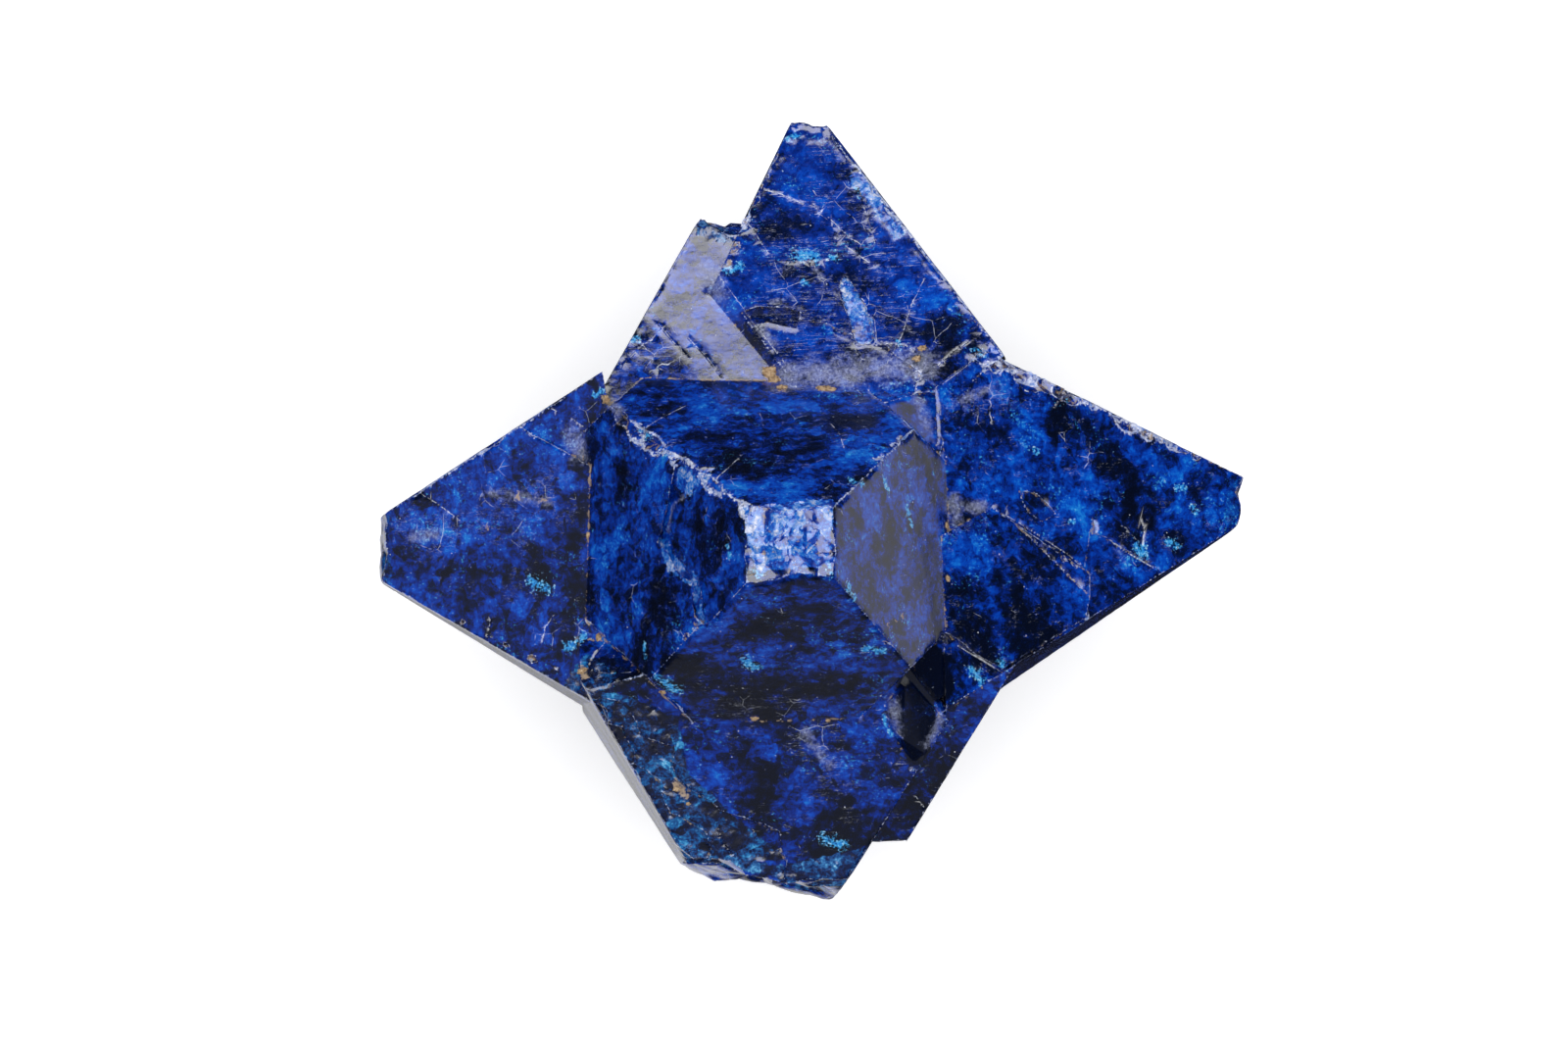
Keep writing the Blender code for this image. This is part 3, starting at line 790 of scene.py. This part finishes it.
def squeezed(tree, place, turned, stretch):
    """The place turned by some degrees about each axis and stretched, for marks that run one way."""
    node = add(tree, "ShaderNodeMapping", Vector=place)
    node.inputs["Rotation"].default_value = [math.radians(angle) for angle in turned]
    node.inputs["Scale"].default_value = stretch
    return node.outputs[0]


def times(tree, *values):
    """The product of some sockets and numbers."""
    result = values[0]
    for value in values[1:]:
        result = calculate(tree, "MULTIPLY", result, value)
    return result


def body_colour(tree, place):
    """Deep blue with black patches, straight-sided shards, brighter streaks and specks, and the painted shade
    and painted inner reflections of the marks.
    """
    shard = shards(tree, bent(tree, place, 2.0, 0.35), 2.6, 0)
    plate = shards(tree, bent(tree, place, 1.2, 0.7), 0.9, 1)
    patches = cloud(tree, place, 0.8, 8.0, 0.68, 0.6)
    small = cloud(tree, place, 4.5, 6.0, 0.74, 0.4)
    streaks = cloud(tree, squeezed(tree, place, (20, 35, 48), (1.0, 3.0, 1.4)), 2.0, 5.0, 0.65)
    # The marks add painted shade and painted inner reflections to the mottling
    tone_and_painted_light = total(tree, (1.0, patches), (0.17, shard), (0.11, plate), (1.0, small), (0.35, streaks),
                 (0.20, attribute(tree, "tone_and_painted_light")), -0.86)
    less = times(tree, calculate(tree, "SUBTRACT", tone_and_painted_light, 0.48), attribute(tree, "even"), -0.4)
    tone_and_painted_light = calculate(tree, "ADD", tone_and_painted_light, less)
    tone_and_painted_light = calculate(tree, "ADD", tone_and_painted_light, fade(tree, attribute(tree, "black"), 0.30, 0.50, 0.0, -0.30))
    colour = ramp(tree, tone_and_painted_light, (0.24, BLACK_BLUE), (0.37, NAVY), (0.50, ULTRAMARINE), (0.66, COBALT),
                  (0.82, AZURE), (0.95, CYAN))
    specks = cloud(tree, place, 14.0, 4.0, 0.75)
    where = cloud(tree, place, 1.1, 3.0, 0.6)
    bright = fade(tree, total(tree, (1.0, specks), (0.45, where), (0.25, tone_and_painted_light)), 0.99, 1.06)
    colour = mix(tree, times(tree, bright, 0.8), colour, (*CYAN, 1))
    cyan = total(tree, (1.0, attribute(tree, "cyan")), (2.6, small), (2.2, specks), -2.4)
    speck_colour = ramp(tree, specks, (0.44, AZURE), (0.58, CYAN), (0.72, WHITE))
    colour = mix(tree, fade(tree, cyan, 0.56, 0.86), colour, speck_colour)
    return colour, small, specks


def scratches(tree, place, small):
    """Fine pale scratches and hair cracks: bits of a net of straight lines, and parallel strokes."""
    more = times(tree, attribute(tree, "scratched"), 0.12)
    net = add(tree, "ShaderNodeTexVoronoi", {"feature": "DISTANCE_TO_EDGE"}, Scale=1.3,
              Vector=bent(tree, place, 1.5, 0.25))
    line = fade(tree, net.outputs["Distance"], 0.002, 0.008, 1, 0)
    some = fade(tree, calculate(tree, "ADD", cloud(tree, place, 0.9, 4.0, 0.6), more), 0.60, 0.66)
    both = times(tree, line, some)
    for turned, chance in (((10, 20, -35), 1.4), ((-25, 40, 20), 1.2)):
        strokes = cloud(tree, squeezed(tree, place, turned, (0.5, 9.0, 4.0)), 2.2, 3.0, 0.5)
        away = calculate(tree, "ABSOLUTE", calculate(tree, "SUBTRACT", strokes, 0.56))
        stroke = fade(tree, away, 0.001, 0.006, 1, 0)
        some = fade(tree, calculate(tree, "ADD", cloud(tree, place, chance, 5.0, 0.7), more), 0.57, 0.66)
        both = calculate(tree, "MAXIMUM", both, times(tree, stroke, some))
    return times(tree, both, fade(tree, small, 0.38, 0.56))


def dots(tree, place):
    """Tiny pale grains of dust, a few to a square millimetre."""
    grain = add(tree, "ShaderNodeTexVoronoi", Vector=place, Scale=3.2)
    chosen = add(tree, "ShaderNodeSeparateColor", Color=grain.outputs["Color"])
    size = fade(tree, chosen.outputs[0], 0.55, 1.0, 0.0, 0.07)
    return fade(tree, calculate(tree, "SUBTRACT", size, grain.outputs["Distance"]), 0.0, 0.02)


CUMENGEITE_IOR = 2.04
# How far the finest waves of the glassy faces rise, in millimetres
STONE_BUMP = 0.006


def star_material():
    """Glassy blue mineral, mottled inside, with pale chipped ridges."""
    material = bpy.data.materials.new("cumengeite")
    material.use_nodes = True
    tree = material.node_tree
    principled = tree.nodes["Principled BSDF"]
    place = place_in_mm(tree)
    colour, small, specks = body_colour(tree, place)

    # Scratches, hair cracks and grains of dust, which the black crystal lacks
    pale = times(tree, scratches(tree, place, small), 0.6)
    crack = fade(tree, attribute(tree, "crack_away"), 0.004, 0.022, 1, 0)
    pale = calculate(tree, "MAXIMUM", pale, times(tree, crack, fade(tree, small, 0.36, 0.55, 0, 0.8)))
    pale = calculate(tree, "MAXIMUM", pale, times(tree, dots(tree, place), 0.7))
    clean = fade(tree, attribute(tree, "black"), 0.20, 0.45, 1, 0)
    pale = times(tree, pale, clean)
    colour = mix(tree, pale, colour, (*WHITE, 1))

    # A haze of grey dust
    ragged = total(tree, (2.6, small), (1.3, specks), -1.95)
    blotches = cloud(tree, place, 2.2, 4.0, 0.7)
    mottled = total(tree, (1.0, attribute(tree, "dust")), (0.4, ragged), (1.3, blotches), -0.65)
    dust = fade(tree, mottled, 0.25, 1.0, 0, 0.48)
    colour = mix(tree, dust, colour, ramp(tree, specks, (0.34, GRIME), (0.58, LILAC), (0.82, WHITE)))

    # Broken surfaces, blue or lilac
    splinter = shards(tree, bent(tree, place, 4.0, 0.15), 3.4, 1)
    wide = cloud(tree, place, 1.6, 3.0, 0.6)
    fracture = total(tree, (0.30, splinter), (1.4, small), (0.8, specks), (1.0, wide), -1.42)
    blue = ramp(tree, fracture, (0.10, BLACK_BLUE), (0.28, NAVY), (0.42, DEEP_TEAL), (0.58, TEAL),
                (0.72, CYAN), (0.94, WHITE))
    lilac = ramp(tree, fracture, (0.12, ULTRAMARINE), (0.26, COBALT), (0.38, AZURE), (0.46, PERIWINKLE),
                 (0.58, LILAC), (0.80, WHITE))
    fracture = mix(tree, fade(tree, attribute(tree, "paleness"), 0.25, 0.85), blue, lilac)
    broken = fade(tree, total(tree, (1.0, attribute(tree, "broken")), (1.6, small), -0.80), 0.35, 0.55)
    broken = times(tree, broken, fade(tree, attribute(tree, "paleness"), 0.0, 0.25))
    colour = mix(tree, broken, colour, fracture)

    # Chipped ridges
    edge = attribute(tree, "ridge_away")
    wear = attribute(tree, "worn")
    reach = total(tree, (0.24, times(tree, wear, small)), (0.10, times(tree, wear, specks)), (0.30, specks),
                  (-0.08, wear), -0.15)
    chip = calculate(tree, "DIVIDE", edge, calculate(tree, "MAXIMUM", reach, 0.003))
    chip = fade(tree, chip, 0.7, 1.1, 1, 0)
    chip_tone = total(tree, (0.6, specks), (0.4, small), (0.04, wear))
    chip_colour = ramp(tree, chip_tone, (0.41, COBALT), (0.47, AZURE), (0.54, LILAC), (0.66, WHITE))
    chip = times(tree, chip, clean)
    colour = mix(tree, times(tree, chip, 0.9), colour, chip_colour)

    # Clay in the inner corners and in lumps
    damp = total(tree, (1.0, attribute(tree, "corner_away")), (0.45, small),
                 (-0.05, attribute(tree, "clay_line")), -0.19)
    clay = times(tree, fade(tree, damp, 0.0, 0.03, 0.8, 0), clean)
    lump = fade(tree, calculate(tree, "ADD", attribute(tree, "clay_lump"), ragged), 0.50, 0.70, 0, 0.9)
    clay = calculate(tree, "MAXIMUM", clay, lump)
    colour = mix(tree, clay, colour, ramp(tree, specks, (0.35, DARK_CLAY), (0.6, CLAY_TAN)))
    feed(tree, principled.inputs["Base Color"], colour)

    # Dust, clay, chips and scratches take the gloss away
    rough = total(tree, (0.16, small), (0.30, chip), (0.12, broken), (0.5, clay), (0.3, pale), (0.4, dust))
    feed(tree, principled.inputs["Roughness"], rough)
    waves = cloud(tree, place, 0.9, 3.0, 0.55)
    height = total(tree, (0.5, small), (0.3, specks), (-1.0, pale), (3.0, waves))
    bump = add(tree, "ShaderNodeBump", Height=height, Distance=STONE_BUMP * MM, Strength=0.8)
    feed(tree, principled.inputs["Normal"], bump.outputs[0])
    principled.inputs["IOR"].default_value = CUMENGEITE_IOR
    return material


star_data.materials.append(star_material())
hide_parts("cumengeite_star")
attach(star, "root")


# Crumbs of tan clay sit in the corners between the crystals. They are dry dirt, stuck on.
# Each has a radius and a place, in pixels of the photo.
CRUMBS = (
    (10, (784, 379)),
    (8, (790, 388)),
    (6, (798, 395)),
    (8, (840, 396)),
    (7, (847, 397)),
    (5, (941, 355)),
    (5, (936, 366)),
    (6, (619, 408)),
    (6, (594, 684)),
    (5, (611, 650)),
    (4, (676, 706)),
    (5, (770, 733)),
    (3, (845, 735)),
    (4, (600, 546)),
    (4, (966, 536)),
    (4, (967, 590)),
    (4, (690, 805)),
    (3, (702, 820)),
)
# A crumb is this much narrower than it is long, and this much flatter
CRUMB_WIDTH = 0.7
CRUMB_HEIGHT = 0.4


def crumb(bm, place, normal, radius, seed):
    """One lump of clay, flattened on the face that it sticks to."""
    made = bmesh.ops.create_icosphere(bm, subdivisions=3, radius=1.0)["verts"]
    lie = normal.to_track_quat("Z", "Y").to_matrix()
    for vert in made:
        lump = 0.8 + 0.5 * noise.fractal(vert.co * 1.6 + Vector((seed, 0, 0)), 0.6, 2.0, 4)
        shape = Vector((vert.co.x, CRUMB_WIDTH * vert.co.y, CRUMB_HEIGHT * vert.co.z)) * lump * radius
        vert.co = STAR_MIDDLE + MM * (place + lie @ shape)


crumb_mesh = bmesh.new()
for number, (radius, pixel) in enumerate(CRUMBS):
    crumb(crumb_mesh, *seen(*pixel), radius * PIXEL / MM, 5.0 * number)
crumb_data = bpy.data.meshes.new("clay_crumbs")
crumb_mesh.to_mesh(crumb_data)
crumb_mesh.free()
crumb_data.shade_smooth()
crumbs = bpy.data.objects.new("clay_crumbs", crumb_data)
bpy.context.scene.collection.objects.link(crumbs)


CLAY_SHADOW = (0.13, 0.07, 0.035)
CLAY_PALE = (0.62, 0.50, 0.36)
# How far its grains rise, in millimetres
CLAY_BUMP = 0.04


def clay_material():
    """Dry tan clay with darker and paler grains."""
    material = bpy.data.materials.new("clay")
    material.use_nodes = True
    tree = material.node_tree
    principled = tree.nodes["Principled BSDF"]
    grain = cloud(tree, place_in_mm(tree), 12.0, 5.0, 0.7)
    colour = ramp(tree, grain, (0.35, CLAY_SHADOW), (0.52, CLAY_TAN), (0.70, CLAY_PALE))
    feed(tree, principled.inputs["Base Color"], colour)
    bump = add(tree, "ShaderNodeBump", Height=grain, Distance=CLAY_BUMP * MM, Strength=0.8)
    feed(tree, principled.inputs["Normal"], bump.outputs[0])
    principled.inputs["Roughness"].default_value = 0.9
    return material


crumb_data.materials.append(clay_material())
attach(crumbs, "root")


# The floor is a plain pale sheet. It isn't part of the specimen.
FLOOR_SIZE = 2000 * MM
FLOOR_WHITE = (0.9, 0.9, 0.9, 1)
FLOOR_GLOW = 0.35
floor_data = bpy.data.meshes.new("floor")
half = FLOOR_SIZE / 2
corners = [(-half, -half, 0), (half, -half, 0), (half, half, 0), (-half, half, 0)]
floor_data.from_pydata(corners, [], [(0, 1, 2, 3)])
floor = bpy.data.objects.new("floor", floor_data)
bpy.context.scene.collection.objects.link(floor)
floor.visible_glossy = False
floor_paint = bpy.data.materials.new("floor")
floor_paint.use_nodes = True
floor_shader = floor_paint.node_tree.nodes["Principled BSDF"]
floor_shader.inputs["Base Color"].default_value = FLOOR_WHITE
floor_shader.inputs["Roughness"].default_value = 0.9
floor_shader.inputs["Specular IOR Level"].default_value = 0.0
floor_shader.inputs["Emission Color"].default_value = (1, 1, 1, 1)
floor_shader.inputs["Emission Strength"].default_value = FLOOR_GLOW
floor_data.materials.append(floor_paint)


# The light is a soft dome round the camera, with a few white cards that the glassy faces
# reflect: a window behind the star, and cards to its right, left and front. Each has a name,
# where it is, its radius and the softness of its edge in degrees, and its strength.
CARDS = (
    ("dome", (0, 0, 1), 42, 5, 2.5),
    ("window", (0, 0.98, 0.19), 15.1, 0.8, 2.8),
    ("corner card", (0.54, 0.74, 0.40), 9, 4, 0.6),
    ("right card", (0.83, 0, -0.56), 17, 6, 0.45),
    ("left card", (-0.9, 0, 0.44), 22, 8, 0.11),
    ("front card", (0, -0.9, 0.44), 22, 8, 0.09),
    ("lower card", (0.1, -0.87, -0.49), 12, 6, 0.10),
    ("under", (-0.40, -0.28, -0.87), 24, 7, 0.9),
)
FAINT_LIGHT = 0.012


def studio():
    """A world that is dark but for the cards, each a soft-edged disc of light."""
    world = bpy.data.worlds.new("studio")
    world.use_nodes = True
    tree = world.node_tree
    background = tree.nodes["Background"]
    direction = add(tree, "ShaderNodeTexCoord").outputs["Generated"]
    light = FAINT_LIGHT
    for _, facing, half_angle, soft, strength in CARDS:
        towards = add(tree, "ShaderNodeVectorMath", {"operation": "DOT_PRODUCT"}, Vector=direction)
        towards.inputs[1].default_value = Vector(facing).normalized()
        inner = math.cos(math.radians(half_angle - soft))
        outer = math.cos(math.radians(half_angle + soft))
        light = calculate(tree, "ADD", light, fade(tree, towards.outputs["Value"], outer, inner, 0, strength))
    feed(tree, background.inputs["Strength"], light)
    background.inputs["Color"].default_value = (1, 1, 1, 1)
    return world


bpy.context.scene.world = studio()
bpy.context.scene.view_settings.view_transform = "Standard"

for name in ("Cube", "Light", "Camera"):
    if name in bpy.data.objects:
        bpy.data.objects.remove(bpy.data.objects[name])
